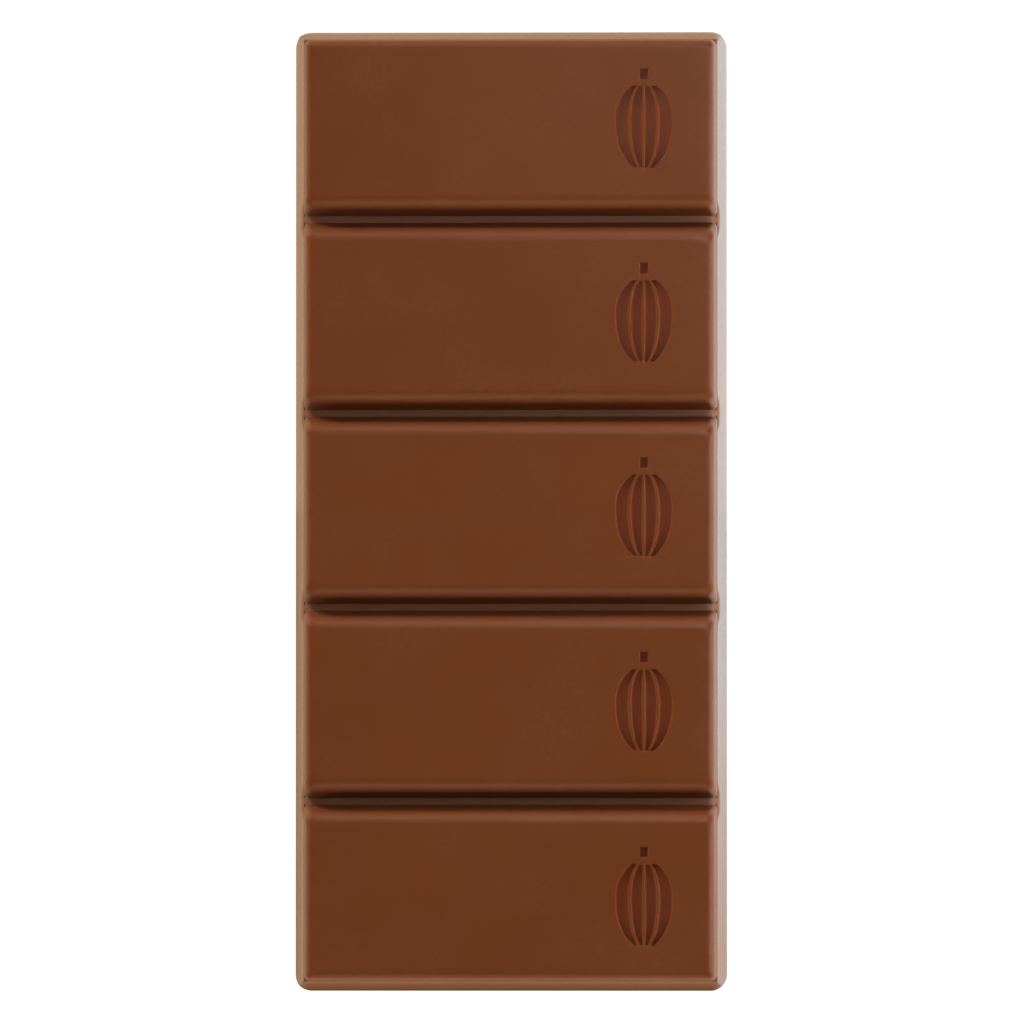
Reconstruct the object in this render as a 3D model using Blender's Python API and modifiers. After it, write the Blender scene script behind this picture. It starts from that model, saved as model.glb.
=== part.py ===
"""Milk chocolate bar: five wide blocks in one row on a base slab, moulded as one solid piece.

Frame, in metres: X runs across the bar, Y along the row of blocks, Z up. The flat poured back rests
on Z = 0 and the moulded side is up. The origin is the middle of the back.
The slab and the blocks are boxes whose walls lean in, with rounded edges. They are united, and a
pod is then pressed into the face of each block.
"""

import math

import bmesh
import bpy

# Driving dimensions of the whole bar
BAR_WIDTH = 0.0500
BAR_LENGTH = 0.1112
BAR_HEIGHT = 0.0080

# Base slab: its side walls lean in, and the blocks stand on its top
SLAB_HEIGHT = 0.0044
SLAB_WALL_RUN = 0.00085
SLAB_CORNER_RADIUS = 0.0019
SLAB_EDGE_ROUND = 0.00018
LEDGE_WIDTH = 0.00018

# Blocks and the V grooves between them
BLOCK_COUNT = 5
GROOVE_PITCH = 0.02245
GROOVE_FLOOR_WIDTH = 0.00075
GROOVE_WALL_RUN = 0.00110
BLOCK_OUTER_WALL_RUN = 0.00038
BLOCK_TOP_ROUND = 0.00120
BLOCK_OUTER_CORNER_ROUND = 0.00172
BLOCK_GROOVE_CORNER_ROUND = 0.00070
BLOCK_SUNK = 0.00050

# Pod pressed into each block face: long pockets with thin ribs between them, under a short stalk
POD_CENTRE_X = 0.0155
POD_SHIFT_Y = -0.00070
POD_HALF_WIDTH = 0.00325
POD_HALF_LENGTH = 0.00520
POD_FULLNESS = 2.4
POD_BLUNTNESS = 0.62
POD_TAPER = 0.10
POD_DEPTH = 0.00035
POD_POCKETS = 4
POCKET_SHARE = 0.90
POD_RIB_WIDTH = 0.00036
STALK_WIDTH = 0.00090
STALK_LENGTH = 0.00120
STALK_GAP = 0.00030

# How finely the curves are divided
SLAB_CORNER_STEPS = 5
SLAB_EDGE_STEPS = 2
BLOCK_EDGE_STEPS = 4
POD_STEPS = 8

CHOCOLATE_COLOR = (0.145, 0.052, 0.022, 1.0)
CHOCOLATE_ROUGHNESS = 0.38


def clear_scene():
    """Removes the objects that a new scene starts with."""
    for item in list(bpy.data.objects):
        bpy.data.objects.remove(item, do_unlink=True)


def make_collection(name):
    """Adds an empty collection to the scene."""
    collection = bpy.data.collections.new(name)
    bpy.context.scene.collection.children.link(collection)
    return collection


def chocolate_material():
    """Brown chocolate with a satin gloss."""
    material = bpy.data.materials.new("chocolate")
    material.use_nodes = True
    shader = material.node_tree.nodes["Principled BSDF"]
    shader.inputs["Base Color"].default_value = CHOCOLATE_COLOR
    shader.inputs["Roughness"].default_value = CHOCOLATE_ROUGHNESS
    return material


def add_object(name, shape, collection):
    """Makes the edited shape an object of the collection."""
    mesh = bpy.data.meshes.new(name)
    shape.to_mesh(mesh)
    shape.free()
    item = bpy.data.objects.new(name, mesh)
    collection.objects.link(item)
    return item


def leaning_box(low, high, low_runs, high_runs):
    """A cube stretched between two corners, with its top drawn in.

    low_runs holds how far the top is drawn in on the low X and low Y sides, and high_runs the same
    for the high sides.
    """
    shape = bmesh.new()
    bmesh.ops.create_cube(shape, size=2.0)
    for vertex in shape.verts:
        at_the_top = vertex.co.z > 0.0
        for axis in range(2):
            if vertex.co[axis] > 0.0:
                vertex.co[axis] = high[axis] - (high_runs[axis] if at_the_top else 0.0)
            else:
                vertex.co[axis] = low[axis] + (low_runs[axis] if at_the_top else 0.0)
        vertex.co.z = high[2] if at_the_top else low[2]
    return shape


def rises(edge):
    """True for an edge that goes from the foot to the top."""
    return abs(edge.verts[0].co.z - edge.verts[1].co.z) > SLAB_EDGE_ROUND


def at_top(edge, height):
    """True for an edge that lies level at the height."""
    return all(abs(vertex.co.z - height) < SLAB_EDGE_ROUND for vertex in edge.verts)


def make_slab(collection):
    """The base slab, with round corners in plan and a softened edge round its foot and its top."""
    low = (-BAR_WIDTH / 2, -BAR_LENGTH / 2, 0.0)
    high = (BAR_WIDTH / 2, BAR_LENGTH / 2, SLAB_HEIGHT)
    runs = (SLAB_WALL_RUN, SLAB_WALL_RUN)
    shape = leaning_box(low, high, runs, runs)
    upright = [edge for edge in shape.edges if rises(edge)]
    bmesh.ops.bevel(
        shape,
        geom=upright,
        offset=SLAB_CORNER_RADIUS,
        offset_type="OFFSET",
        segments=SLAB_CORNER_STEPS,
        profile=0.5,
        affect="EDGES",
    )
    slab = add_object("chocolate_bar", shape, collection)
    bevel = slab.modifiers.new("edge_round", "BEVEL")
    bevel.width = SLAB_EDGE_ROUND
    bevel.segments = SLAB_EDGE_STEPS
    bevel.limit_method = "ANGLE"
    bevel.angle_limit = math.radians(45.0)
    return slab


def block_foot(index):
    """The low and high Y of a block's foot on the slab, and how far its wall leans in at each."""
    centre = (index - (BLOCK_COUNT - 1) / 2) * GROOVE_PITCH
    half = (GROOVE_PITCH - GROOVE_FLOOR_WIDTH) / 2
    bar_end = BAR_LENGTH / 2 - SLAB_WALL_RUN - LEDGE_WIDTH
    low, low_run = centre - half, GROOVE_WALL_RUN
    high, high_run = centre + half, GROOVE_WALL_RUN
    if index == 0:
        low, low_run = -bar_end, BLOCK_OUTER_WALL_RUN
    if index == BLOCK_COUNT - 1:
        high, high_run = bar_end, BLOCK_OUTER_WALL_RUN
    return low, high, low_run, high_run


def make_block(index, collection):
    """One block with a broad soft edge round its face. Its walls go on down a little into the slab."""
    sunk_share = BLOCK_SUNK / (BAR_HEIGHT - SLAB_HEIGHT)
    side_run = BLOCK_OUTER_WALL_RUN
    half_x = BAR_WIDTH / 2 - SLAB_WALL_RUN - LEDGE_WIDTH + side_run * sunk_share
    low_y, high_y, low_run, high_run = block_foot(index)
    low = (-half_x, low_y - low_run * sunk_share, SLAB_HEIGHT - BLOCK_SUNK)
    high = (half_x, high_y + high_run * sunk_share, BAR_HEIGHT)
    low_runs = (side_run * (1.0 + sunk_share), low_run * (1.0 + sunk_share))
    high_runs = (side_run * (1.0 + sunk_share), high_run * (1.0 + sunk_share))
    shape = leaning_box(low, high, low_runs, high_runs)
    weights = shape.edges.layers.float.new("bevel_weight_edge")
    last_groove_y = GROOVE_PITCH * (BLOCK_COUNT - 1) / 2 + GROOVE_PITCH / 4
    for edge in shape.edges:
        at_bar_end = abs(edge.verts[0].co.y + edge.verts[1].co.y) / 2 > last_groove_y
        if at_top(edge, BAR_HEIGHT):
            edge[weights] = BLOCK_TOP_ROUND / BLOCK_OUTER_CORNER_ROUND
        elif rises(edge) and at_bar_end:
            edge[weights] = 1.0
        elif rises(edge):
            edge[weights] = BLOCK_GROOVE_CORNER_ROUND / BLOCK_OUTER_CORNER_ROUND
    block = add_object(f"block_{index}", shape, collection)
    bevel = block.modifiers.new("edge_round", "BEVEL")
    bevel.width = BLOCK_OUTER_CORNER_ROUND
    bevel.segments = BLOCK_EDGE_STEPS
    bevel.limit_method = "WEIGHT"


def pod_half_width(along):
    """Half width of the pod at the share along of its half length, -1 at the tip and 1 at the stalk."""
    bulge = (1.0 - abs(along) ** POD_FULLNESS) ** POD_BLUNTNESS
    return POD_HALF_WIDTH * bulge * (1.0 + POD_TAPER * along)


def pocket_outline(pocket, centre_y):
    """Outline of one pocket, between two ribs that follow the pod's sides."""
    left_share = -1.0 + 2.0 * pocket / POD_POCKETS
    right_share = left_share + 2.0 / POD_POCKETS
    left_rib = 0.0 if pocket == 0 else POD_RIB_WIDTH / 2
    right_rib = 0.0 if pocket == POD_POCKETS - 1 else POD_RIB_WIDTH / 2
    right_side = []
    left_side = []
    for step in range(POD_STEPS + 1):
        along = POCKET_SHARE * (2.0 * step / POD_STEPS - 1.0)
        width = pod_half_width(along)
        y = centre_y + POD_HALF_LENGTH * along
        right_side.append((POD_CENTRE_X + right_share * width - right_rib, y))
        left_side.append((POD_CENTRE_X + left_share * width + left_rib, y))
    return right_side + left_side[::-1]


def make_cutter(name, outline, collection):
    """A flat outline made into a solid that reaches POD_DEPTH below and above the block faces."""
    curve = bpy.data.curves.new(name, "CURVE")
    curve.dimensions = "2D"
    curve.fill_mode = "BOTH"
    curve.extrude = POD_DEPTH
    spline = curve.splines.new("POLY")
    spline.points.add(len(outline) - 1)
    for point, (x, y) in zip(spline.points, outline):
        point.co = (x, y, 0.0, 1.0)
    spline.use_cyclic_u = True
    drawn = bpy.data.objects.new(name + "_outline", curve)
    collection.objects.link(drawn)
    graph = bpy.context.evaluated_depsgraph_get()
    mesh = bpy.data.meshes.new_from_object(drawn.evaluated_get(graph))
    bpy.data.objects.remove(drawn, do_unlink=True)
    shape = bmesh.new()
    shape.from_mesh(mesh)
    bmesh.ops.remove_doubles(shape, verts=shape.verts, dist=0.00001)
    bmesh.ops.recalc_face_normals(shape, faces=shape.faces)
    bmesh.ops.translate(shape, verts=shape.verts, vec=(0.0, 0.0, BAR_HEIGHT))
    cutter = add_object(name, shape, collection)
    cutter.hide_render = True
    cutter.display_type = "WIRE"


def make_pod_cutters(index, collection):
    """The pockets and the stalk of the pod on one block."""
    centre_y = (index - (BLOCK_COUNT - 1) / 2) * GROOVE_PITCH + POD_SHIFT_Y
    for pocket in range(POD_POCKETS):
        make_cutter(f"pod_{index}_pocket_{pocket}", pocket_outline(pocket, centre_y), collection)
    left = POD_CENTRE_X - STALK_WIDTH / 2
    right = POD_CENTRE_X + STALK_WIDTH / 2
    low = centre_y + POD_HALF_LENGTH + STALK_GAP
    high = low + STALK_LENGTH
    stalk = [(left, low), (right, low), (right, high), (left, high)]
    make_cutter(f"pod_{index}_stalk", stalk, collection)


def apply_boolean(item, operation, collection):
    """Unites with, or cuts by, every object of the collection, and keeps the result as the mesh."""
    modifier = item.modifiers.new(operation.lower(), "BOOLEAN")
    modifier.operation = operation
    modifier.operand_type = "COLLECTION"
    modifier.collection = collection
    modifier.solver = "EXACT"
    graph = bpy.context.evaluated_depsgraph_get()
    result = bpy.data.meshes.new_from_object(item.evaluated_get(graph))
    item.modifiers.clear()
    item.data = result


def remove_collection(collection):
    """Removes the helper solids once their Boolean is applied."""
    for item in list(collection.objects):
        bpy.data.objects.remove(item, do_unlink=True)
    bpy.data.collections.remove(collection)


def build():
    """Makes the bar."""
    clear_scene()
    bars = make_collection("milk_chocolate_bar")
    blocks = make_collection("blocks")
    cutters = make_collection("pod_cutters")
    bar = make_slab(bars)
    for index in range(BLOCK_COUNT):
        make_block(index, blocks)
        make_pod_cutters(index, cutters)
    apply_boolean(bar, "UNION", blocks)
    apply_boolean(bar, "DIFFERENCE", cutters)
    remove_collection(blocks)
    remove_collection(cutters)
    bar.data.materials.clear()
    bar.data.materials.append(chocolate_material())


build()
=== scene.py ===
"""Milk chocolate bar, moulded side up on a plain white floor, seen from straight above.

The bar is one closed surface. Its moulded side is a sheet over a grid of lines across and along the
bar, which are close together at walls and rounds, and its back is a set of rings inside the edge.
"""

import math

import bmesh
import bpy
import numpy as np
from mathutils import Matrix, Vector


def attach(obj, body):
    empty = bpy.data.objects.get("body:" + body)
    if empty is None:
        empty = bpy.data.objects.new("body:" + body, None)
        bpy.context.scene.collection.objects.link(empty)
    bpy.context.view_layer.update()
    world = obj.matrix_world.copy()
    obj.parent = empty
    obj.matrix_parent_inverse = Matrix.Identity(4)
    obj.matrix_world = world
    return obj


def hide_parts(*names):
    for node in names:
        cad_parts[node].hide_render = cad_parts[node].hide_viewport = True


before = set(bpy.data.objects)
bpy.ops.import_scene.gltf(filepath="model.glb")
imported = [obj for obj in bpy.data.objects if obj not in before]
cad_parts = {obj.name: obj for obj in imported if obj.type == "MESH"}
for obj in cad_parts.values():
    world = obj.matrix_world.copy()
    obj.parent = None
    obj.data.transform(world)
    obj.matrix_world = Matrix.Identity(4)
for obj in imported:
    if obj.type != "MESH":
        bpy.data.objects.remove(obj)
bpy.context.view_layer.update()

MM = 0.001

# The bar and its base slab
BAR_WIDTH = 50.0 * MM
BAR_LENGTH = 111.2 * MM
BAR_HEIGHT = 8.0 * MM
SLAB_HEIGHT = 4.4 * MM
SLAB_WALL_RUN = 1.07 * MM
SLAB_CORNER_RADIUS = 1.9 * MM
SLAB_TOP_ROUND = 0.20 * MM
FOOT_ROUND = 0.20 * MM
LEDGE_INSET = 1.10 * MM

# At a groove's open end the slab's shoulder is rounder: fully up to the first distance from the
# groove's middle, and no longer past the second
SLAB_TOP_ROUND_AT_GROOVE = 1.70 * MM
GROOVE_OPENING = (0.9 * MM, 2.4 * MM)

# The blocks and the grooves between them
BLOCK_COUNT = 5
GROOVE_PITCH = 22.45 * MM
GROOVE_FLOOR_WIDTH = 0.75 * MM
GROOVE_WALL_RUN = 1.10 * MM
BLOCK_OUTER_WALL_RUN = 0.38 * MM
BLOCK_RISE = BAR_HEIGHT - SLAB_HEIGHT
OUTER_ROUND_REACH = 0.75 * MM
GROOVE_ROUND_REACH = 1.20 * MM

# The blocks' upright corners, at the foot and at the top, and how far onto the face they fade
OUTER_CORNER_RADIUS = SLAB_CORNER_RADIUS - LEDGE_INSET
OUTER_CORNER_RADIUS_AT_TOP = 0.50 * MM
GROOVE_CORNER_RADIUS = 0.60 * MM
GROOVE_CORNER_RADIUS_AT_TOP = 0.90 * MM
CORNER_FADE = 1.20 * MM

# The pod pressed into each block face
POD_CENTRE_X = 15.5 * MM
POD_SHIFT_Y = -0.70 * MM
POD_HALF_WIDTH = 3.25 * MM
POD_HALF_LENGTH = 5.20 * MM
POD_FULLNESS = 2.4
POD_BLUNTNESS = 0.62
POD_TAPER = 0.10
POD_DEPTH = 0.35 * MM
POD_POCKETS = 4
POCKET_SHARE = 0.90
POD_RIB_WIDTH = 0.36 * MM
POD_WALL_RUN = 0.20 * MM
STALK_WIDTH = 0.90 * MM
STALK_LENGTH = 1.20 * MM
STALK_GAP = 0.30 * MM
POCKET_END = POCKET_SHARE * POD_HALF_LENGTH
STALK_START = POD_HALF_LENGTH + STALK_GAP
STALK_END = STALK_START + STALK_LENGTH

# Spacing of the grid lines, and the level of those that lie on the slab
SLAB_LEVEL = -1.0
SLAB_WALL_LINES = np.array([0.0, 0.22, 0.44, 0.66, 0.78, 0.86, 0.92, 0.97, 1.0, 1.03, 1.06, 1.09]) * MM
BLOCK_WALL_LEVELS = np.array([0.0, 0.25, 0.75, 1.25, 1.75, 2.2, 2.4, 2.57]) * MM
BLOCK_ROUND_STEPS = 13
GROOVE_FLOOR_STEPS = 5
FACE_SPACING_X = 1.25 * MM
FACE_SPACING_Y = 0.50 * MM
POD_WALL_STEPS = np.linspace(-0.5, 0.5, 5) * POD_WALL_RUN

# How far the lines beside the pod and past its ends still follow its outline
POD_ZONE = 5.5 * MM
POD_EASE_NEAR = 2.6 * MM
POD_EASE_FAR = 2.0 * MM
POD_SPREAD_AT_STALK = 1.26 * MM

# Unevenness of the faces, of the walls and rounds, and of the poured back
RIPPLE_WAVES = 9
RIPPLE_LENGTH_SPREAD = (0.7, 1.5)
FACE_RIPPLE = 0.010 * MM
FACE_RIPPLE_LENGTH = 14.0 * MM
FACE_RIPPLE_FADE = (-0.2 * MM, 2.0 * MM)
FACE_RIPPLE_SEED = 3
EDGE_RIPPLE = 0.012 * MM
EDGE_RIPPLE_LENGTH = 1.6 * MM
EDGE_RIPPLE_SEED = 5
BACK_HOLLOW = 0.08 * MM
BACK_RIPPLE = 0.04 * MM
BACK_RIPPLE_LENGTH = 11.0 * MM
BACK_RIPPLE_FADE = (0.8 * MM, 6.0 * MM)
BACK_RIPPLE_SEED = 11

# Bands of heights, each with where it opens and closes: the blocks' walls, and the top of the slab
WALL_BAND = {"Foot": 4.40 * MM, "Foot_End": 4.55 * MM, "Shoulder": 7.20 * MM, "Top": 7.70 * MM}
# The slab's band carries a painted sheen: a pale film on the top of the slab and the groove floors
SLAB_TOP_BAND = {"Foot": 3.40 * MM, "Foot_End": 4.30 * MM, "Shoulder": 4.42 * MM, "Top": 4.55 * MM}

# Rings of the back: the rounded foot, then insets from the edge, then shares of the way to the middle
FOOT_STEPS = 4
BACK_INSETS = np.array([0.5, 0.9, 1.4]) * MM
BACK_SHARES = np.array([0.82, 0.64, 0.46, 0.28, 0.12, 0.0])

# Finish of the mesh
SMALLEST_RADIUS = 1e-6 * MM
WELD_DISTANCE = 2e-4 * MM
SHARP_ANGLE = math.radians(38.0)

# Camera: long lens, a touch to the right of the bar's middle and towards its near end
VIEW_SIZE = 118.8 * MM
CAMERA_DISTANCE = 1.5
CAMERA_LEAN_RIGHT = math.radians(1.5)
CAMERA_LEAN_NEAR = math.radians(1.5)
CAMERA_AIM = Vector((0.08 * MM, -0.09 * MM, 0.0))
CAMERA_REACH = 10.0
SENSOR_WIDTH = 36.0

# Colours, as linear light
BROWN = (0.151, 0.0382, 0.0092)
DEEP_BROWN = (0.138, 0.0343, 0.0077)
# Lighter and redder than BROWN: painted light in the pressed pockets, making up for the shade that falls
# in them
POCKET_BROWN_PAINTED_LIGHT = (0.190, 0.0390, 0.0095)
# Pale bloom film, which on the slab's top and groove floors is also a painted sheen
PALE_FILM_AND_SHEEN = (0.40, 0.25, 0.17)

# Spans of the noises' own values over which each pattern of the chocolate comes in
CLOUD_SPAN = (0.45, 0.90)
MOTTLE_SHARE = 0.35
GRAIN_SPAN = (0.3, 0.7)
PINHOLE_SPAN = (0.03, 0.10)
PINHOLE_CHOICE = (0.90, 0.92)
FILM_PATCH_SPAN = (0.42, 0.68)
FILM_DUST_SPAN = (0.40, 0.65)

# The floor, and the white that the camera sees of it and of the surround
FLOOR_HALF_WIDTH = 3.0
FLOOR_COLOR = (0.85, 0.85, 0.85, 1.0)
FLOOR_BRIGHTNESS = 1.05
WHITE = (1.0, 1.0, 1.0, 1.0)
BLACK = (0.0, 0.0, 0.0)

# Softboxes: name, azimuth and elevation in degrees, distance and size in metres, power in watts, and
# whether gloss sees it
SOFTBOXES = (
    ("right_low", 0.0, 12.0, 0.3, 0.12, 1.18, False),
    ("far_left_low", 135.0, 12.0, 1.0, 0.35, 6.8, False),
    ("far_left_sheen", 135.0, 12.0, 1.0, 0.35, 2.6, True),
    ("far_low", 90.0, 12.0, 1.0, 0.35, 4.0, False),
    ("left_low", 180.0, 12.0, 1.0, 0.35, 4.4, False),
    ("near_low", 270.0, 12.0, 1.0, 0.35, 6.6, False),
    ("near_left_low", 225.0, 12.0, 1.0, 0.35, 1.8, False),
    ("far_middle", 90.0, 33.0, 1.0, 0.45, 0.7, True),
    ("right_middle", 0.0, 33.0, 1.0, 0.45, 1.1, True),
    ("near_middle", 270.0, 33.0, 1.0, 0.45, 0.5, True),
    ("left_middle", 180.0, 33.0, 1.0, 0.45, 0.3, True),
    ("far_right_close", 63.4, 58.6, 0.26, 0.08, 0.075, True),
    ("right_close", 0.0, 61.9, 0.34, 0.15, 0.05, True),
)
SURROUND = 0.02

# Painted light and shade on the floor, which only gloss sees, for each side of the bar: next to the foot,
# then further out. It stands in for a floor lit most from the right, with a painted shadow by the near
# foot
GLOW_RIGHT = ((2.72, 3.85, 4.00), (0.95, 1.25, 1.20))
GLOW_RIGHT_AT_NEAR_END = ((2.20, 2.50, 2.40), (0.85, 0.85, 0.72))
GLOW_LEFT = ((1.12, 1.00, 0.66), (0.62, 0.80, 0.62))
GLOW_FAR = ((1.20, 1.00, 0.66), (0.43, 0.22, 0.17))
GLOW_NEAR = ((0.12, 0.14, 0.07), (1.40, 0.80, 0.42))
GLOW_SEAM = 1.5 * MM
GLOW_BLEND = (-52.0 * MM, -20.0 * MM)
GLOW_NEXT = (0.3 * MM, 4.0 * MM)
GLOW_REACH = (90.0 * MM, 110.0 * MM)


def smooth_step(value, start, end):
    """Goes from 0 at start to 1 at end along 3t^2 - 2t^3, and stays level beyond them."""
    share = np.clip((value - start) / (end - start), 0.0, 1.0)
    return share * share * (3.0 - 2.0 * share)


def ripples(x, y, length, seed):
    """Unevenness between about -1 and 1: plane waves of about one length, with random headings."""
    random = np.random.default_rng(seed)
    total = np.zeros_like(x)
    for _ in range(RIPPLE_WAVES):
        heading = random.uniform(0.0, 2.0 * math.pi)
        wave = 2.0 * math.pi / (length * random.uniform(*RIPPLE_LENGTH_SPREAD))
        phase = random.uniform(0.0, 2.0 * math.pi)
        total += np.sin(wave * (x * math.cos(heading) + y * math.sin(heading)) + phase)
    return total * 2.0 / RIPPLE_WAVES


def block_centre(index):
    """Where the middle of a block lies along the bar."""
    return (index - (BLOCK_COUNT - 1) / 2) * GROOVE_PITCH


def slab_height(inset, top_round):
    """Height of the slab at a distance inside its foot.

    The wall rises straight over SLAB_WALL_RUN, turns over an arc of radius top_round that touches
    both wall and top, and goes on level.
    """
    rise = SLAB_HEIGHT - FOOT_ROUND
    lean = math.atan2(SLAB_WALL_RUN, rise)
    reach = top_round * math.tan((math.pi / 2 - lean) / 2)
    arc_from = SLAB_WALL_RUN - reach * math.sin(lean)
    arc_to = SLAB_WALL_RUN + reach
    wall = FOOT_ROUND + inset * rise / SLAB_WALL_RUN
    from_centre = np.clip(arc_to - inset, 0.0, top_round)
    arc = SLAB_HEIGHT - top_round + np.sqrt(top_round**2 - from_centre**2)
    return np.where(inset < arc_from, wall, np.where(inset < arc_to, arc, SLAB_HEIGHT))


def block_wall(outer):
    """Lean and rounding radius of a block's wall, which is an outer one or one in a groove.

    The rounding ends its reach past the corner that wall and face would make, which gives the radius.
    """
    run = np.where(outer, BLOCK_OUTER_WALL_RUN, GROOVE_WALL_RUN)
    reach = np.where(outer, OUTER_ROUND_REACH, GROOVE_ROUND_REACH)
    lean = np.arctan2(run, BLOCK_RISE)
    return lean, reach / np.tan((math.pi / 2 - lean) / 2)


def block_inset(level, outer):
    """How far a block's wall has come in from its foot at the height level above the slab.

    The wall leans straight in, then turns into the face over an arc that touches both. Past the rise,
    level goes on as a distance across the face.
    """
    lean, radius = block_wall(outer)
    arc_from = BLOCK_RISE - radius * (1.0 - np.sin(lean))
    centre = arc_from * np.tan(lean) + radius * np.cos(lean)
    above = np.clip(level - (BLOCK_RISE - radius), 0.0, radius)
    arc = centre - np.sqrt(radius**2 - above**2)
    inset = np.where(level < arc_from, level * np.tan(lean), arc)
    return inset + np.maximum(level - BLOCK_RISE, 0.0)


def block_levels():
    """Heights at which the grid crosses a block's walls: up the wall, then over an outer wall's arc.

    The arc is crossed at even angles. The walls in the grooves are crossed at the same heights.
    """
    lean, radius = block_wall(True)
    angles = np.linspace(lean, math.pi / 2, BLOCK_ROUND_STEPS + 1)
    arc = BLOCK_RISE - radius * (1.0 - np.sin(angles))
    return np.concatenate([BLOCK_WALL_LEVELS, arc])


def evenly(start, end, spacing):
    """Places about spacing apart between start and end, both left out."""
    count = max(1, round((end - start) / spacing))
    return np.linspace(start, end, count + 1)[1:-1]


def pocket_sides(pocket):
    """The two sides of a pocket: each as a share of the pod's half width, and half the rib beside it."""
    left_share = -1.0 + 2.0 * pocket / POD_POCKETS
    right_share = left_share + 2.0 / POD_POCKETS
    left_rib = 0.0 if pocket == 0 else POD_RIB_WIDTH / 2
    right_rib = 0.0 if pocket == POD_POCKETS - 1 else POD_RIB_WIDTH / 2
    return left_share, right_share, left_rib, right_rib


def pod_lines():
    """Lines over the pod: share of its half width and offset from there, with five to a pocket's wall."""
    share = []
    offset = []
    count = len(POD_WALL_STEPS)
    for pocket in range(POD_POCKETS):
        left_share, right_share, left_rib, right_rib = pocket_sides(pocket)
        share += [left_share] * count + [(left_share + right_share) / 2] + [right_share] * count
        offset += [*(left_rib + POD_WALL_STEPS), 0.0, *(POD_WALL_STEPS - right_rib)]
    return np.array(share), np.array(offset)


def lines_across():
    """Grid lines across the bar, from its left side to its right: their places, levels and pulls.

    A line's level is its height on a block's wall. It is negative on the slab, and on the face it
    goes on from the rise as the distance from the face's edge. Its pull is how much of the pod's
    change of half width it follows: its share over the pod, and less and less beside it.
    """
    levels = block_levels()
    half = BAR_WIDTH / 2
    inset = np.concatenate([SLAB_WALL_LINES, LEDGE_INSET + block_inset(levels, True)])
    level = np.concatenate([np.full(len(SLAB_WALL_LINES), SLAB_LEVEL), levels])
    edge = half - inset[-1]
    share, offset = pod_lines()
    pod = POD_CENTRE_X + POD_HALF_WIDTH * share + offset
    before = evenly(-edge, pod[0], FACE_SPACING_X)
    after = evenly(pod[-1], edge, FACE_SPACING_X)
    face = np.concatenate([before, pod, after])
    place = np.concatenate([inset - half, face, (half - inset)[::-1]])
    face_level = BLOCK_RISE + edge - np.abs(face)
    from_pod = place - POD_CENTRE_X
    beside = np.clip((POD_ZONE - np.abs(from_pod)) / (POD_ZONE - POD_HALF_WIDTH), 0.0, 1.0)
    pull = np.sign(from_pod) * beside
    first = len(inset) + len(before)
    pull[first : first + len(share)] = share
    return place, np.concatenate([level, face_level, level[::-1]]), pull


def block_ends(index):
    """The two ends of a block's foot: where each lies, which way is inward, and whether it is outer."""
    half = (GROOVE_PITCH - GROOVE_FLOOR_WIDTH) / 2
    near = (block_centre(index) - half, 1.0, False)
    far = (block_centre(index) + half, -1.0, False)
    if index == 0:
        near = (LEDGE_INSET - BAR_LENGTH / 2, 1.0, True)
    if index == BLOCK_COUNT - 1:
        far = (BAR_LENGTH / 2 - LEDGE_INSET, -1.0, True)
    return near, far


def lines_of_block(index):
    """Grid lines along one block, in rows of place, level, foot, inward and outer."""
    levels = block_levels()
    near, far = block_ends(index)
    near_foot, _, near_outer = near
    far_foot, _, far_outer = far
    near_inset = block_inset(levels, near_outer)
    far_inset = block_inset(levels, far_outer)
    start = near_foot + near_inset[-1]
    end = far_foot - far_inset[-1]
    pod_centre = block_centre(index) + POD_SHIFT_Y
    pieces = []
    reached = start
    for mark in (-POCKET_END, POCKET_END, STALK_START, STALK_END):
        wall = pod_centre + mark + POD_WALL_STEPS
        pieces += [evenly(reached, wall[0], FACE_SPACING_Y), wall]
        reached = wall[-1]
    face = np.concatenate([*pieces, evenly(reached, end, FACE_SPACING_Y)])
    face_level = BLOCK_RISE + np.minimum(face - start, end - face)
    is_near = face - start < end - face
    place = np.concatenate([near_foot + near_inset, face, (far_foot - far_inset)[::-1]])
    level = np.concatenate([levels, face_level, levels[::-1]])
    by_near = np.concatenate([np.full(len(levels), True), is_near, np.full(len(levels), False)])
    rows = [place, level]
    for near_value, far_value in zip(near, far):
        rows.append(np.where(by_near, near_value, far_value))
    return np.stack(rows)


def lines_along():
    """Grid lines along the bar, from its near end to its far one, in the rows of lines_of_block.

    On the slab's end walls and on the groove floors the level is negative.
    """
    half = BAR_LENGTH / 2

    def on_slab(place):
        """Rows of lines on the slab. They belong to no block, so the last three rows are 0."""
        none = np.zeros_like(place)
        return np.stack([place, none + SLAB_LEVEL, none, none, none])

    parts = [on_slab(SLAB_WALL_LINES - half)]
    floor_share = np.arange(1, GROOVE_FLOOR_STEPS) / GROOVE_FLOOR_STEPS
    for index in range(BLOCK_COUNT):
        parts.append(lines_of_block(index))
        if index < BLOCK_COUNT - 1:
            _, (groove_start, _, _) = block_ends(index)
            parts.append(on_slab(groove_start + GROOVE_FLOOR_WIDTH * floor_share))
    parts.append(on_slab((half - SLAB_WALL_LINES)[::-1]))
    return np.concatenate(parts, axis=1)


def round_corner(across, onward, along, radius):
    """Bends the corner of an L of grid lines into a quarter circle, and returns a point's two insets.

    The L has its corner at the insets across and onward. The point lies on one leg, at the distance
    along from the corner. Within radius of the corner it moves onto the circle of that radius that
    touches both legs, and half of the quarter belongs to each leg.
    """
    turn = math.pi / 4 * np.clip(1.0 - along / np.maximum(radius, SMALLEST_RADIUS), 0.0, 1.0)
    moved = turn > 0.0
    new_across = np.where(moved, across + radius * (1.0 - np.cos(turn)), across)
    new_onward = np.where(moved, onward + radius * (1.0 - np.sin(turn)), onward + along)
    return new_across, new_onward


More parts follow.
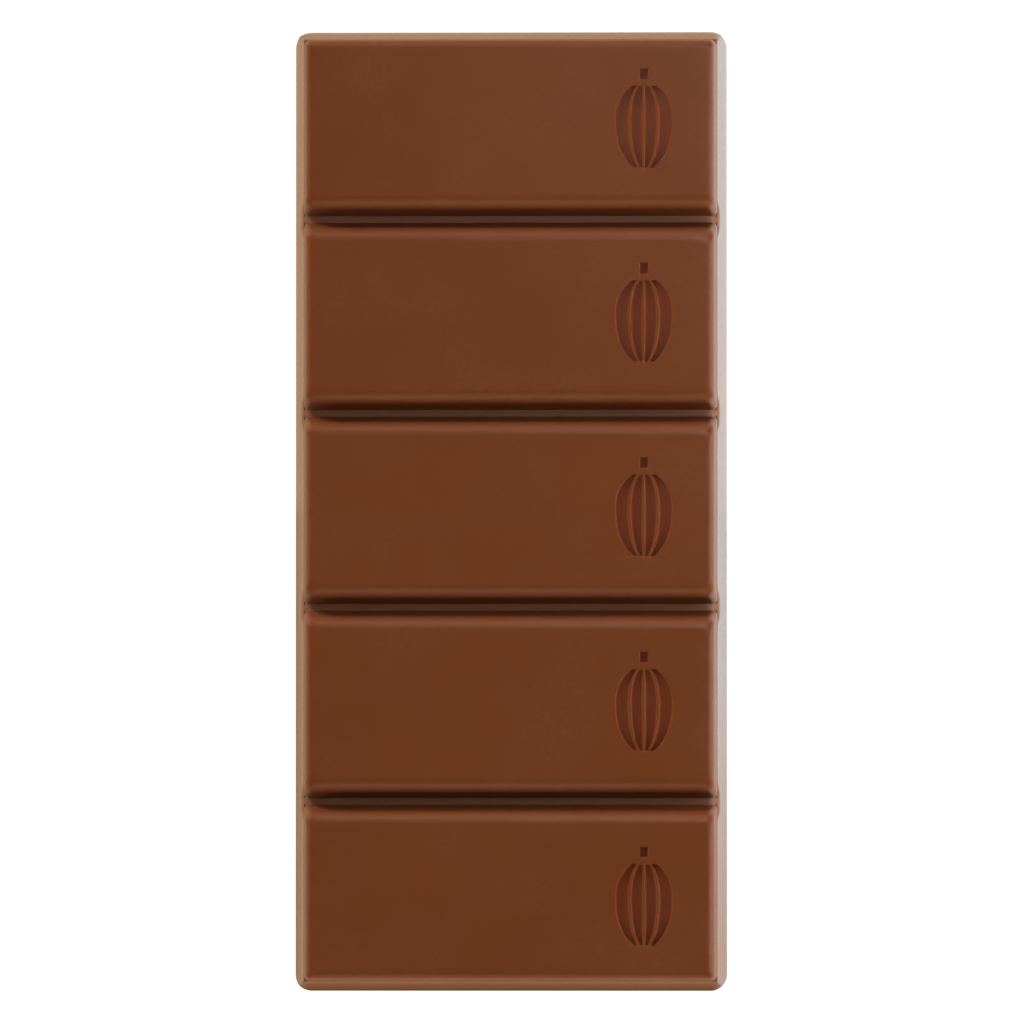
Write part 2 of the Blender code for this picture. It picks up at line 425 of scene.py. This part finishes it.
def slab_outline(x, y):
    """Insets from the bar's side and end, with the outline round at the bar's four corners.

    The radius shrinks by as much as the inset grows, as on any wall that leans in evenly.
    """
    side = BAR_WIDTH / 2 - np.abs(x)
    end = BAR_LENGTH / 2 - np.abs(y)
    rim = np.minimum(side, end)
    radius = np.maximum(SLAB_CORNER_RADIUS - rim, 0.0)
    leg, rest = round_corner(rim, rim, np.abs(side - end), radius)
    on_side = side <= end
    return np.where(on_side, leg, rest), np.where(on_side, rest, leg)


def block_outline(side_foot, end_foot, side_level, end_level, outer):
    """Insets from a block's foot at its side and at its end, with its upright corners round.

    A point's level is the lower of those of its two lines, so each level is an L of lines round the
    corner. The radius goes evenly from its value at the foot to that at the face, and fades on it.
    """
    level = np.minimum(side_level, end_level)
    side_in = block_inset(level, True)
    end_in = block_inset(level, outer)
    foot_radius = np.where(outer, OUTER_CORNER_RADIUS, GROOVE_CORNER_RADIUS)
    top_radius = np.where(outer, OUTER_CORNER_RADIUS_AT_TOP, GROOVE_CORNER_RADIUS_AT_TOP)
    rise_share = np.clip(level / BLOCK_RISE, 0.0, 1.0)
    face_share = np.clip(1.0 - (level - BLOCK_RISE) / CORNER_FADE, 0.0, 1.0)
    radius = (foot_radius + (top_radius - foot_radius) * rise_share) * face_share
    side_leg, side_rest = round_corner(side_in, end_in, end_foot - end_in, radius)
    end_leg, end_rest = round_corner(end_in, side_in, side_foot - side_in, radius)
    on_side = side_level <= end_level
    return np.where(on_side, side_leg, end_rest), np.where(on_side, side_rest, end_leg)


def pod_half_width(along):
    """Half width of the pod at the share along of its half length, -1 at the tip and 1 at the stalk."""
    bulge = np.clip(1.0 - np.abs(along) ** POD_FULLNESS, 0.0, 1.0) ** POD_BLUNTNESS
    return POD_HALF_WIDTH * bulge * (1.0 + POD_TAPER * along)


def from_pod_centre(y):
    """Distance along the bar from the middle of the pod on the nearest block, positive at its stalk."""
    index = np.clip(np.round(y / GROOVE_PITCH), -(BLOCK_COUNT // 2), BLOCK_COUNT // 2)
    return y - index * GROOVE_PITCH - POD_SHIFT_Y


def pod_spread(y):
    """Half width that the lines over the pod keep to at each place along the bar.

    It is the pod's own along its pockets and a narrow one along the stalk. Away from them it goes
    back, in straight lines, to the full half width.
    """
    along = from_pod_centre(y)
    near_end, far_end = pod_half_width(np.array([-POCKET_SHARE, POCKET_SHARE]))
    near_knots = [-POCKET_END - POD_EASE_NEAR, -POCKET_END]
    far_knots = [POCKET_END, STALK_START, STALK_END, STALK_END + POD_EASE_FAR]
    near_widths = [POD_HALF_WIDTH, near_end]
    far_widths = [far_end, POD_SPREAD_AT_STALK, POD_SPREAD_AT_STALK, POD_HALF_WIDTH]
    beyond = np.interp(along, near_knots + far_knots, near_widths + far_widths)
    return np.where(np.abs(along) <= POCKET_END, pod_half_width(along / POD_HALF_LENGTH), beyond)


def pod_depth(x, y):
    """Depth pressed into the face at each point, as a share of POD_DEPTH.

    The distance inside a pocket is the least of those from its sides and ends. The depth grows with
    the greatest such distance of all pockets and the stalk, along a smooth step.
    """
    from_centre = from_pod_centre(y)
    width = pod_spread(y)
    from_stalk_side = STALK_WIDTH / 2 - np.abs(x - POD_CENTRE_X)
    from_stalk_end = STALK_LENGTH / 2 - np.abs(from_centre - (STALK_START + STALK_END) / 2)
    inside = np.minimum(from_stalk_side, from_stalk_end)
    for pocket in range(POD_POCKETS):
        left_share, right_share, left_rib, right_rib = pocket_sides(pocket)
        from_left = x - POD_CENTRE_X - left_share * width - left_rib
        from_right = POD_CENTRE_X + right_share * width - right_rib - x
        here = np.minimum(np.minimum(from_left, from_right), POCKET_END - np.abs(from_centre))
        inside = np.maximum(inside, here)
    return smooth_step(inside, -POD_WALL_RUN / 2, POD_WALL_RUN / 2)


def groove_distance(y):
    """Distance along the bar from the middle of the nearest groove."""
    last = (BLOCK_COUNT - 2) / 2
    nearest = np.clip(np.round(y / GROOVE_PITCH + 0.5) - 0.5, -last, last)
    return np.abs(y - nearest * GROOVE_PITCH)


def moulded_side():
    """Points of the moulded side, in rows along the bar by columns across it, and how pressed in.

    On the slab's wall the inset from the bar's edge gives the height, and on a block the level does.
    Fine ripples unsettle the walls and rounds, slow ones the faces, and the pods are pressed in.
    """
    x_line, x_level, pull = lines_across()
    y_line, y_level, foot, inward, outer = lines_along()[:, :, None]
    x, y = np.meshgrid(x_line, y_line[:, 0])
    x = x + pull * (pod_spread(y_line) - POD_HALF_WIDTH)
    side_level = x_level + np.abs(x_line) - np.abs(x)
    end_level = np.broadcast_to(y_level, x.shape)
    level = np.minimum(side_level, end_level)
    on_block = level >= 0.0

    slab_side, slab_end = slab_outline(x, y)
    side_foot = BAR_WIDTH / 2 - np.abs(x) - LEDGE_INSET
    end_foot = (y - foot) * inward
    block = [np.maximum(part, 0.0) for part in (side_foot, end_foot, side_level, end_level)]
    block_side, block_end = block_outline(*block, outer > 0.5)
    side = np.where(on_block, LEDGE_INSET + block_side, slab_side)
    new_x = np.sign(x) * (BAR_WIDTH / 2 - side)
    slab_y = np.sign(y) * (BAR_LENGTH / 2 - slab_end)
    new_y = np.where(on_block, foot + inward * block_end, slab_y)

    open_end = 1.0 - smooth_step(groove_distance(new_y), *GROOVE_OPENING)
    top_round = SLAB_TOP_ROUND + (SLAB_TOP_ROUND_AT_GROOVE - SLAB_TOP_ROUND) * open_end
    slab_z = slab_height(np.minimum(slab_side, slab_end), top_round)
    z = np.where(level > 0.0, SLAB_HEIGHT + np.clip(level, 0.0, BLOCK_RISE), slab_z)

    on_face = smooth_step(level - BLOCK_RISE, *FACE_RIPPLE_FADE)
    pressed = pod_depth(new_x, new_y) * (level > BLOCK_RISE)
    z = z - POD_DEPTH * pressed
    slow = 1.0 + ripples(new_x, new_y, FACE_RIPPLE_LENGTH, FACE_RIPPLE_SEED)
    z = z - FACE_RIPPLE * on_face * slow
    off_face = (1.0 - on_face) * (z > FOOT_ROUND)
    fine = 1.0 + ripples(new_x, new_y, EDGE_RIPPLE_LENGTH, EDGE_RIPPLE_SEED)
    z = z - EDGE_RIPPLE / 2 * off_face * fine
    return np.stack([new_x, new_y, z], axis=-1), pressed


def rim_of(sheet):
    """Indices of the sheet's outer points, counterclockwise seen from above."""
    rows, columns = sheet.shape[:2]
    index = np.arange(rows * columns).reshape(rows, columns)
    return np.concatenate([index[0, :-1], index[:-1, -1], index[-1, :0:-1], index[:0:-1, 0]])


def back_rings(rim):
    """Rings of points from the rim over the rounded foot and across the back to its middle line.

    The first rings move each point in along the outline's own normal, and the later ones draw it
    towards the nearest point of the middle line. The back is a little hollow and slowly uneven.
    """
    core = np.array([BAR_WIDTH / 2, BAR_LENGTH / 2]) - SLAB_CORNER_RADIUS
    flat = rim[:, :2]
    nearest = np.clip(flat, -core, core)
    outward = (flat - nearest) / SLAB_CORNER_RADIUS
    angles = np.linspace(0.0, math.pi / 2, FOOT_STEPS + 1)[1:]
    insets = np.concatenate([FOOT_ROUND * (1.0 - np.cos(angles)), BACK_INSETS])
    heights = np.concatenate([FOOT_ROUND * (1.0 - np.sin(angles)), np.zeros(len(BACK_INSETS))])
    rings = [flat - outward * inset for inset in insets]
    middle_end = BAR_LENGTH / 2 - BAR_WIDTH / 2
    middle = np.stack([np.zeros(len(flat)), np.clip(flat[:, 1], -middle_end, middle_end)], axis=-1)
    last = rings[-1]
    rings += [middle + (last - middle) * share for share in BACK_SHARES]
    rings = np.stack(rings)
    height = np.zeros(rings.shape[:2])
    height[: len(heights)] = heights[:, None]
    edge = np.minimum(BAR_WIDTH / 2 - np.abs(rings[..., 0]), BAR_LENGTH / 2 - np.abs(rings[..., 1]))
    rise = smooth_step(edge, *BACK_RIPPLE_FADE)
    wave = ripples(rings[..., 0], rings[..., 1], BACK_RIPPLE_LENGTH, BACK_RIPPLE_SEED)
    height += rise * (BACK_HOLLOW + BACK_RIPPLE * wave)
    return np.concatenate([rings, height[..., None]], axis=-1)


def quads_of_sheet(rows, columns):
    """Corner indices of the squares of a sheet, counterclockwise seen from above."""
    index = np.arange(rows * columns).reshape(rows, columns)
    corners = [index[:-1, :-1], index[:-1, 1:], index[1:, 1:], index[1:, :-1]]
    return np.stack(corners, axis=-1).reshape(-1, 4)


def quads_of_rings(rings):
    """Corner indices of the squares between rings of point indices, facing away from the bar."""
    after = np.roll(rings, -1, axis=1)
    corners = [rings[:-1], rings[1:], after[1:], after[:-1]]
    return np.stack(corners, axis=-1).reshape(-1, 4)


def make_bar():
    """The whole bar as one closed mesh, with the poured back in its own material.

    The last ring of the back lies folded on the middle line, where its points are welded in pairs.
    """
    sheet, pressed = moulded_side()
    rows, columns = sheet.shape[:2]
    rim = rim_of(sheet)
    points = sheet.reshape(-1, 3)
    rings = back_rings(points[rim])
    count = len(points)
    ring_index = count + np.arange(rings.shape[0] * rings.shape[1]).reshape(rings.shape[:2])
    ring_index = np.concatenate([rim[None, :], ring_index])
    all_points = np.concatenate([points, rings.reshape(-1, 3)])
    top = quads_of_sheet(rows, columns)
    under = quads_of_rings(ring_index)
    mesh = bpy.data.meshes.new("chocolate_bar_surface")
    mesh.from_pydata(all_points, [], np.concatenate([top, under]).tolist())
    of_back = np.zeros(len(top) + len(under), dtype=np.int32)
    of_back[len(top) + FOOT_STEPS * len(rim) :] = 1
    mesh.polygons.foreach_set("material_index", of_back)
    pressed_in = mesh.attributes.new("pressed", "FLOAT", "POINT")
    pressed_in.data.foreach_set("value", np.append(pressed.ravel(), np.zeros(rings[..., 0].size)))
    shape = bmesh.new()
    shape.from_mesh(mesh)
    bmesh.ops.remove_doubles(shape, verts=shape.verts, dist=WELD_DISTANCE)
    shape.to_mesh(mesh)
    shape.free()
    mesh.shade_smooth()
    mesh.set_sharp_from_angle(angle=SHARP_ANGLE)
    bar = bpy.data.objects.new("moulded_chocolate", mesh)
    bpy.context.scene.collection.objects.link(bar)
    return bar


def connect(tree, value, socket):
    """Fills a node's input: a socket is linked to it, and any other value is stored in it."""
    if isinstance(value, bpy.types.NodeSocket):
        tree.links.new(value, socket)
    else:
        socket.default_value = value


def fill(tree, node, inputs):
    """Fills a node's inputs by name, with underscores for spaces, and returns the node."""
    for name, value in inputs.items():
        connect(tree, value, node.inputs[name.replace("_", " ")])
    return node


def add_node(tree, kind, **inputs):
    """Adds a shader node and fills its inputs by name."""
    return fill(tree, tree.nodes.new(kind), inputs)


def use_group(tree, group, **inputs):
    """Places a node group in a material with its own values."""
    node = tree.nodes.new("ShaderNodeGroup")
    node.node_tree = group
    return fill(tree, node, inputs)


def object_place(tree):
    """Where a point lies on its own object."""
    return tree.nodes.new("ShaderNodeTexCoord").outputs["Object"]


def calculate(tree, operation, *values):
    """Result of one operation on values in their order, each a socket or a number."""
    node = tree.nodes.new("ShaderNodeMath")
    node.operation = operation
    for value, socket in zip(values, node.inputs):
        connect(tree, value, socket)
    return node.outputs["Value"]


def ramp(tree, value, low, high, at_low=0.0, at_high=1.0):
    """Goes from at_low where value is low to at_high where it is high, and stays level beyond."""
    span = add_node(
        tree,
        "ShaderNodeMapRange",
        Value=value,
        From_Min=low,
        From_Max=high,
        To_Min=at_low,
        To_Max=at_high,
    )
    return span.outputs["Result"]


def noise(tree, place, scale, **inputs):
    """Soft random pattern from 0 to 1, of the given scale, detail and roughness."""
    return add_node(tree, "ShaderNodeTexNoise", Vector=place, Scale=scale, **inputs).outputs["Fac"]


def mix_colors(tree, share, first, second):
    """Mixes two colours, each a socket or a plain colour, by the share that a socket gives."""
    mix = tree.nodes.new("ShaderNodeMix")
    mix.data_type = "RGBA"
    connect(tree, share, mix.inputs["Factor"])
    for name, color in (("A", first), ("B", second)):
        opaque = (*color, 1.0) if isinstance(color, tuple) else color
        connect(tree, opaque, mix.inputs[name])
    return mix.outputs["Result"]


def new_group(name, inputs, outputs):
    """A shader node group with inputs and outputs of the given names and kinds.

    It returns the group, the sockets inside it that give its inputs, and those that take its results.
    """
    group = bpy.data.node_groups.new(name, "ShaderNodeTree")
    for direction, sockets in (("INPUT", inputs), ("OUTPUT", outputs)):
        for socket, kind in sockets.items():
            group.interface.new_socket(name=socket, in_out=direction, socket_type=f"NodeSocket{kind}")
    start = group.nodes.new("NodeGroupInput")
    end = group.nodes.new("NodeGroupOutput")
    return group, start.outputs, end.inputs


def tone_group():
    """Colour that drifts between two browns in slow clouds, with a little fine mottling."""
    inputs = {"Brown": "Color", "Deep Brown": "Color", "Cloud Scale": "Float", "Mottle Scale": "Float"}
    group, given, result = new_group("chocolate_tone", inputs, {"Color": "Color"})
    place = object_place(group)
    cloud = noise(group, place, given["Cloud Scale"], Detail=3.0, Roughness=0.5)
    mottle = noise(group, place, given["Mottle Scale"], Detail=2.0, Roughness=0.6)
    both = calculate(group, "MULTIPLY_ADD", mottle, MOTTLE_SHARE, cloud)
    share = ramp(group, both, *CLOUD_SPAN)
    color = mix_colors(group, share, given["Brown"], given["Deep Brown"])
    connect(group, color, result["Color"])
    return group


def skin_group():
    """Relief of the skin: a fine grain from 0 to 1, less the depth of scattered pinholes left by air.

    A pinhole is a dip round the middle of a cell of random size, and few of the cells have one.
    """
    inputs = {"Grain Scale": "Float", "Pinhole Scale": "Float", "Pinhole Depth": "Float"}
    group, given, result = new_group("chocolate_skin", inputs, {"Height": "Float", "Grain": "Float"})
    place = object_place(group)
    scale = given["Pinhole Scale"]
    grain = noise(group, place, given["Grain Scale"], Detail=4.0, Roughness=0.6)
    cells = add_node(group, "ShaderNodeTexVoronoi", Vector=place, Scale=scale, Randomness=1.0)
    draw = add_node(group, "ShaderNodeSeparateColor", Color=cells.outputs["Color"])
    dip = ramp(group, cells.outputs["Distance"], *PINHOLE_SPAN, at_low=1.0, at_high=0.0)
    chosen = ramp(group, draw.outputs["Red"], *PINHOLE_CHOICE)
    pinhole = calculate(group, "MULTIPLY", dip, chosen)
    depth = calculate(group, "MULTIPLY", pinhole, given["Pinhole Depth"])
    connect(group, calculate(group, "SUBTRACT", grain, depth), result["Height"])
    connect(group, grain, result["Grain"])
    return group


def bloom_group():
    """Mask of a faint pale film: broken patches times fine dust, up to Amount."""
    inputs = {"Patch Scale": "Float", "Dust Scale": "Float", "Amount": "Float"}
    group, given, result = new_group("chocolate_bloom", inputs, {"Mask": "Float"})
    place = object_place(group)
    patch = noise(group, place, given["Patch Scale"], Detail=3.0, Roughness=0.55)
    dust_and_sheen = noise(group, place, given["Dust Scale"], Detail=5.0, Roughness=0.7)
    spread = ramp(group, patch, *FILM_PATCH_SPAN)
    speckle = ramp(group, dust_and_sheen, *FILM_DUST_SPAN)
    film = calculate(group, "MULTIPLY", spread, speckle)
    connect(group, calculate(group, "MULTIPLY", film, given["Amount"]), result["Mask"])
    return group


def band_group():
    """Mask of a band of heights: it opens from Foot to Foot End and closes from Shoulder to Top.

    It is Amount in the band and 0 above and below it.
    """
    inputs = dict.fromkeys(("Foot", "Foot End", "Shoulder", "Top", "Amount"), "Float")
    group, given, result = new_group("chocolate_height_band", inputs, {"Mask": "Float"})
    axes = add_node(group, "ShaderNodeSeparateXYZ", Vector=object_place(group))
    rise = ramp(group, axes.outputs["Z"], given["Foot"], given["Foot End"])
    fall = ramp(group, axes.outputs["Z"], given["Shoulder"], given["Top"], at_low=1.0, at_high=0.0)
    band = calculate(group, "MULTIPLY", rise, fall)
    connect(group, calculate(group, "MULTIPLY", band, given["Amount"]), result["Mask"])
    return group


def chocolate_material(name, groups, values):
    """Chocolate of a drifting brown under a faint pale film, with painted light in the pressed pockets.

    On the top of the slab and in the grooves the film is thicker, as a painted sheen that stands in for
    the greyish gloss of the groove floors. The satin gloss varies with the grain and is duller on the
    blocks' walls, which drag along the mould as the bar comes out. The relief is fine grain and pinholes.
    """
    tone, skin, bloom, band = groups
    material = bpy.data.materials.new(name)
    material.use_nodes = True
    tree = material.node_tree
    color = use_group(
        tree,
        tone,
        Brown=(*values["brown"], 1.0),
        Deep_Brown=(*values["deep_brown"], 1.0),
        Cloud_Scale=values["cloud_scale"],
        Mottle_Scale=values["mottle_scale"],
    )
    relief = use_group(
        tree,
        skin,
        Grain_Scale=values["grain_scale"],
        Pinhole_Scale=values["pinhole_scale"],
        Pinhole_Depth=values["pinhole_depth"],
    )
    film = use_group(
        tree,
        bloom,
        Patch_Scale=values["film_patch_scale"],
        Dust_Scale=values["film_dust_scale"],
        Amount=values["film_amount"],
    )
    walls = use_group(tree, band, **WALL_BAND, Amount=values["wall_roughness"])
    # Painted sheen: a pale film on the slab's top and in the grooves, standing in for their greyish gloss
    dust_and_sheen = use_group(tree, band, **SLAB_TOP_BAND, Amount=values["slab_sheen_film"])
    pressed = tree.nodes.new("ShaderNodeAttribute")
    pressed.attribute_name = "pressed"
    # Painted light: the pockets take a lighter, redder brown that makes up for the shade falling in them
    body = mix_colors(tree, pressed.outputs["Fac"], color.outputs["Color"], POCKET_BROWN_PAINTED_LIGHT)
    film_and_sheen = calculate(tree, "ADD", film.outputs["Mask"], dust_and_sheen.outputs["Mask"])
    smoother = values["roughness"] - values["roughness_spread"]
    rougher = values["roughness"] + values["roughness_spread"]
    gloss = ramp(tree, relief.outputs["Grain"], *GRAIN_SPAN, smoother, rougher)
    bump = add_node(tree, "ShaderNodeBump", Strength=1.0, Distance=values["relief"])
    connect(tree, relief.outputs["Height"], bump.inputs["Height"])
    surface = {
        "Base Color": mix_colors(tree, film_and_sheen, body, PALE_FILM_AND_SHEEN),
        "Roughness": calculate(tree, "ADD", gloss, walls.outputs["Mask"]),
        "IOR": values["ior"],
        "Normal": bump.outputs["Normal"],
    }
    fill(tree, tree.nodes["Principled BSDF"], surface)
    return material


MOULDED = {
    "brown": BROWN,
    "deep_brown": DEEP_BROWN,
    "cloud_scale": 60.0,
    "mottle_scale": 700.0,
    "ior": 1.48,
    "film_patch_scale": 110.0,
    "film_dust_scale": 1500.0,
    "film_amount": 0.05,
    "grain_scale": 2600.0,
    "pinhole_scale": 420.0,
    "pinhole_depth": 2.0,
    "roughness": 0.36,
    "roughness_spread": 0.04,
    "wall_roughness": 0.24,
    "slab_sheen_film": 0.17,
    "relief": 0.004 * MM,
}

# The bands of heights lie above the back, so their two values make no difference there
POURED = dict(
    MOULDED,
    cloud_scale=90.0,
    film_patch_scale=160.0,
    film_amount=0.16,
    grain_scale=900.0,
    pinhole_scale=260.0,
    pinhole_depth=3.0,
    roughness=0.52,
    roughness_spread=0.06,
    relief=0.02 * MM,
)


def dress_bar(bar):
    """Gives the moulded side and the poured back their materials."""
    groups = (tone_group(), skin_group(), bloom_group(), band_group())
    bar.data.materials.append(chocolate_material("moulded_milk_chocolate", groups, MOULDED))
    bar.data.materials.append(chocolate_material("poured_milk_chocolate", groups, POURED))


def floor_glow(tree):
    """Painted light and shade that gloss sees on the floor, as a colour socket: each side of the bar has
    its own.

    Every side has one colour next to the bar's foot and another further out, and the right side's
    change towards its near end; next to the near foot it is a painted shadow. They meet at the bar's
    corners, and all is dark from GLOW_REACH on.
    """
    axes = add_node(tree, "ShaderNodeSeparateXYZ", Vector=object_place(tree))
    across = axes.outputs["X"]
    along = axes.outputs["Y"]
    side = BAR_WIDTH / 2
    beyond_side = calculate(tree, "SUBTRACT", calculate(tree, "ABSOLUTE", across), side)
    beyond_end = calculate(tree, "SUBTRACT", calculate(tree, "ABSOLUTE", along), BAR_LENGTH / 2)
    outside = calculate(tree, "MAXIMUM", beyond_side, beyond_end)
    far_share = ramp(tree, along, -GLOW_SEAM, GLOW_SEAM)
    blend = ramp(tree, along, *GLOW_BLEND)
    left_share = ramp(tree, across, GLOW_SEAM - side, -GLOW_SEAM - side)
    right_share = ramp(tree, across, side - GLOW_SEAM, side + GLOW_SEAM)
    colors = []
    for zone in range(len(GLOW_RIGHT)):
        color = mix_colors(tree, far_share, GLOW_NEAR[zone], GLOW_FAR[zone])
        color = mix_colors(tree, left_share, color, GLOW_LEFT[zone])
        right = mix_colors(tree, blend, GLOW_RIGHT_AT_NEAR_END[zone], GLOW_RIGHT[zone])
        colors.append(mix_colors(tree, right_share, color, right))
    color = mix_colors(tree, ramp(tree, outside, *GLOW_NEXT), *colors)
    return mix_colors(tree, ramp(tree, outside, *GLOW_REACH), color, BLACK)


def make_floor():
    """A wide plain white floor, which the camera sees evenly lit and gloss sees with painted light and
    shade.
    """
    shape = bmesh.new()
    bmesh.ops.create_grid(shape, x_segments=1, y_segments=1, size=FLOOR_HALF_WIDTH)
    mesh = bpy.data.meshes.new("floor")
    shape.to_mesh(mesh)
    shape.free()
    floor = bpy.data.objects.new("floor", mesh)
    bpy.context.scene.collection.objects.link(floor)
    material = bpy.data.materials.new("white_floor")
    material.use_nodes = True
    tree = material.node_tree
    tree.nodes.clear()
    ray = tree.nodes.new("ShaderNodeLightPath")
    paper = add_node(tree, "ShaderNodeBsdfDiffuse", Color=FLOOR_COLOR)
    glow = add_node(tree, "ShaderNodeEmission", Color=floor_glow(tree))
    white = add_node(tree, "ShaderNodeEmission", Strength=FLOOR_BRIGHTNESS)
    lit = add_node(tree, "ShaderNodeMixShader", Fac=ray.outputs["Is Glossy Ray"])
    seen = add_node(tree, "ShaderNodeMixShader", Fac=ray.outputs["Is Camera Ray"])
    connect(tree, paper.outputs["BSDF"], lit.inputs[1])
    connect(tree, glow.outputs["Emission"], lit.inputs[2])
    connect(tree, lit.outputs["Shader"], seen.inputs[1])
    connect(tree, white.outputs["Emission"], seen.inputs[2])
    add_node(tree, "ShaderNodeOutputMaterial", Surface=seen.outputs["Shader"])
    mesh.materials.append(material)


def add_softbox(name, azimuth, elevation, distance, size, power, in_gloss):
    """A square soft light that faces the bar's middle and shows in reflections or does not."""
    data = bpy.data.lights.new(name, "AREA")
    data.shape = "SQUARE"
    data.size = size
    data.energy = power
    light = bpy.data.objects.new(name, data)
    turn = math.radians(azimuth)
    rise = math.radians(elevation)
    flat = math.cos(rise)
    towards = Vector((math.cos(turn) * flat, math.sin(turn) * flat, math.sin(rise)))
    light.location = distance * towards
    light.rotation_euler = towards.to_track_quat("Z", "Y").to_euler()
    light.visible_camera = False
    light.visible_glossy = in_gloss
    bpy.context.scene.collection.objects.link(light)


def light_studio():
    """Soft lights all round, strongest from the right, and a dim surround that the camera sees white."""
    for softbox in SOFTBOXES:
        add_softbox(*softbox)
    world = bpy.data.worlds.new("studio")
    world.use_nodes = True
    tree = world.node_tree
    ray = tree.nodes.new("ShaderNodeLightPath")
    strength = ramp(tree, ray.outputs["Is Camera Ray"], 0.0, 1.0, at_low=SURROUND, at_high=1.0)
    fill(tree, tree.nodes["Background"], {"Color": WHITE, "Strength": strength})
    bpy.context.scene.world = world
    bpy.context.scene.view_settings.view_transform = "Standard"


def place_camera():
    """Looks down on the bar through a long lens that takes in VIEW_SIZE at the floor."""
    data = bpy.data.cameras.new("camera")
    data.sensor_width = SENSOR_WIDTH
    data.lens = SENSOR_WIDTH * CAMERA_DISTANCE / VIEW_SIZE
    data.clip_end = CAMERA_REACH
    camera = bpy.data.objects.new("camera", data)
    towards = Vector((math.tan(CAMERA_LEAN_RIGHT), -math.tan(CAMERA_LEAN_NEAR), 1.0)).normalized()
    right = Vector((0.0, 1.0, 0.0)).cross(towards).normalized()
    turn = Matrix((right, towards.cross(right), towards)).transposed()
    camera.location = CAMERA_AIM + towards * CAMERA_DISTANCE
    camera.rotation_euler = turn.to_euler()
    bpy.context.scene.collection.objects.link(camera)
    bpy.context.scene.camera = camera


bar = make_bar()
dress_bar(bar)
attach(bar, "root")
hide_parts("chocolate_bar")
make_floor()
light_studio()
place_camera()
